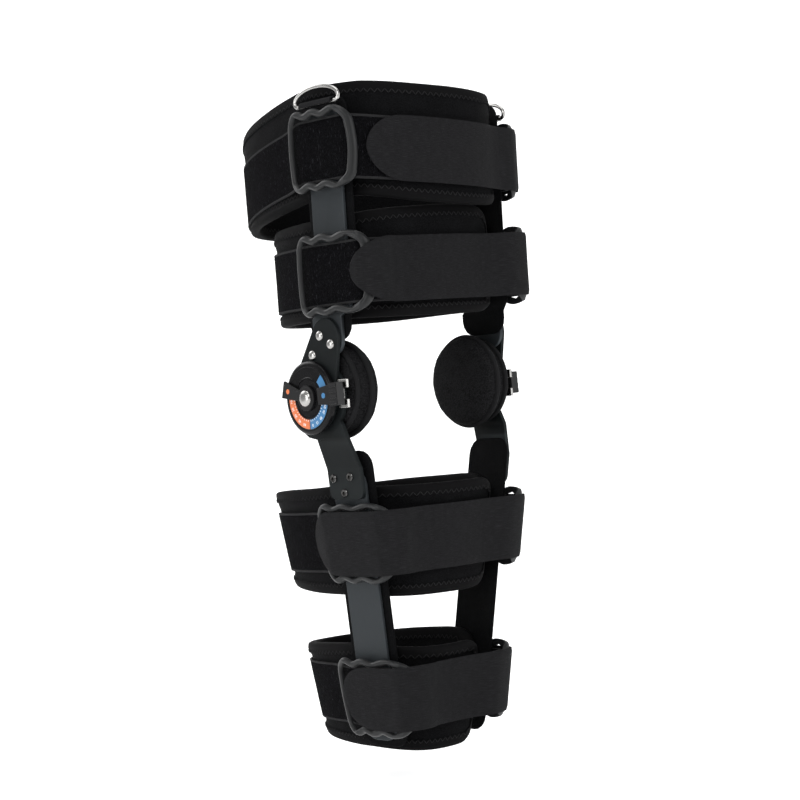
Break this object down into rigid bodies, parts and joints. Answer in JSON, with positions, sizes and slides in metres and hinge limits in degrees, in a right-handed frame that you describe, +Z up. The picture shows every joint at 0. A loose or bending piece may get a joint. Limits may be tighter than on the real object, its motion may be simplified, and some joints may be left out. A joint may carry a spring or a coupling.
{
  "type": "hinged knee immobilizer",
  "caption": "Black padded leg brace with strapped thigh and shin cuffs, steel uprights and dial hinges that bend at the knee and can be limited.",
  "frame": {"origin": "centre of the knee, midway between the two dial hinges on their common axis", "axes": "+Z up along the thigh, -Y to the front of the leg, -X to the outer side of a right leg; the hinges turn about X"},
  "size_m": [0.1908, 0.223, 0.5001],
  "materials": {
    "pad_foam": "black knitted cover over foam, bound edge with a stitch line",
    "pile_strap": "deep black loop pile with thin raised selvedges",
    "woven_strap": "dark grey woven tape",
    "frame_plastic": "charcoal moulded plastic, satin",
    "bar_metal": "satin dark grey coated aluminium",
    "liner_foam": "black foam strip with a knitted face",
    "arm_metal": "black satin coated steel",
    "dial_plastic": "black plastic with a glossy bevelled rim and an orange and blue scale",
    "stop_plastic": "black moulded plastic",
    "steel": "bright steel",
    "dark_steel": "blackened steel",
    "webbing": "black woven tape"
  },
  "bodies": {
    "thigh": {"arm_rivet_lateral_1": "steel", "arm_rivet_lateral_2": "steel", "arm_rivet_lateral_3": "steel", "arm_rivet_medial_1": "steel", "arm_rivet_medial_2": "steel", "arm_rivet_medial_3": "steel", "axle_lateral": "steel", "axle_medial": "steel", "dial_lateral": "dial_plastic", "dial_medial": "dial_plastic", "hinge_catch_lateral": "steel", "hinge_catch_medial": "steel", "hook_strap_thigh_lower": "woven_strap", "hook_strap_thigh_upper": "woven_strap", "knee_pad_lateral": "pad_foam", "knee_pad_medial": "pad_foam", "loop_strap_thigh_lower": "pile_strap", "loop_strap_thigh_upper": "pile_strap", "pad_thigh_lower": "pad_foam", "pad_thigh_upper": "pad_foam", "ring_lateral": "steel", "ring_medial": "steel", "ring_tab_lateral": "webbing", "ring_tab_medial": "webbing", "strap_frame_thigh_lower_lateral": "frame_plastic", "strap_frame_thigh_lower_medial": "frame_plastic", "strap_frame_thigh_upper_lateral": "frame_plastic", "strap_frame_thigh_upper_medial": "frame_plastic", "upper_arm_lateral": "arm_metal", "upper_arm_medial": "arm_metal", "upper_bar_lateral": "bar_metal", "upper_bar_medial": "bar_metal", "upper_liner_lateral": "liner_foam", "upper_liner_medial": "liner_foam"},
    "shin": {"arm_screw_lateral_1": "dark_steel", "arm_screw_lateral_2": "dark_steel", "arm_screw_lateral_3": "dark_steel", "arm_screw_medial_1": "dark_steel", "arm_screw_medial_2": "dark_steel", "arm_screw_medial_3": "dark_steel", "hook_strap_shin_lower": "woven_strap", "hook_strap_shin_upper": "woven_strap", "loop_strap_shin_lower": "pile_strap", "loop_strap_shin_upper": "pile_strap", "lower_arm_lateral": "arm_metal", "lower_arm_medial": "arm_metal", "lower_bar_lateral": "bar_metal", "lower_bar_medial": "bar_metal", "lower_liner_lateral": "liner_foam", "lower_liner_medial": "liner_foam", "pad_shin_lower": "pad_foam", "pad_shin_upper": "pad_foam", "strap_frame_shin_lower_lateral": "frame_plastic", "strap_frame_shin_lower_medial": "frame_plastic", "strap_frame_shin_upper_lateral": "frame_plastic", "strap_frame_shin_upper_medial": "frame_plastic"},
    "extension_stop_lateral": {"extension_stop_lateral": "stop_plastic"},
    "extension_stop_medial": {"extension_stop_medial": "stop_plastic"},
    "flexion_stop_lateral": {"flexion_stop_lateral": "stop_plastic"},
    "flexion_stop_medial": {"flexion_stop_medial": "stop_plastic"}
  },
  "joints": [
    {"name": "knee", "type": "hinge", "parent": "thigh", "child": "shin", "pos_m": [0, 0, 0], "axis": [1, 0, 0], "range_deg": [0, 75]},
    {"name": "extension_stop_lateral_set", "type": "hinge", "parent": "thigh", "child": "extension_stop_lateral", "pos_m": [-0.085, 0, 0], "axis": [-1, 0, 0], "range_deg": [0, 75]},
    {"name": "extension_stop_medial_set", "type": "hinge", "parent": "thigh", "child": "extension_stop_medial", "pos_m": [0.085, 0, 0], "axis": [-1, 0, 0], "range_deg": [0, 75]},
    {"name": "flexion_stop_lateral_set", "type": "hinge", "parent": "thigh", "child": "flexion_stop_lateral", "pos_m": [-0.085, 0, 0], "axis": [1, 0, 0], "range_deg": [0, 60]},
    {"name": "flexion_stop_medial_set", "type": "hinge", "parent": "thigh", "child": "flexion_stop_medial", "pos_m": [0.085, 0, 0], "axis": [1, 0, 0], "range_deg": [0, 60]}
  ]
}
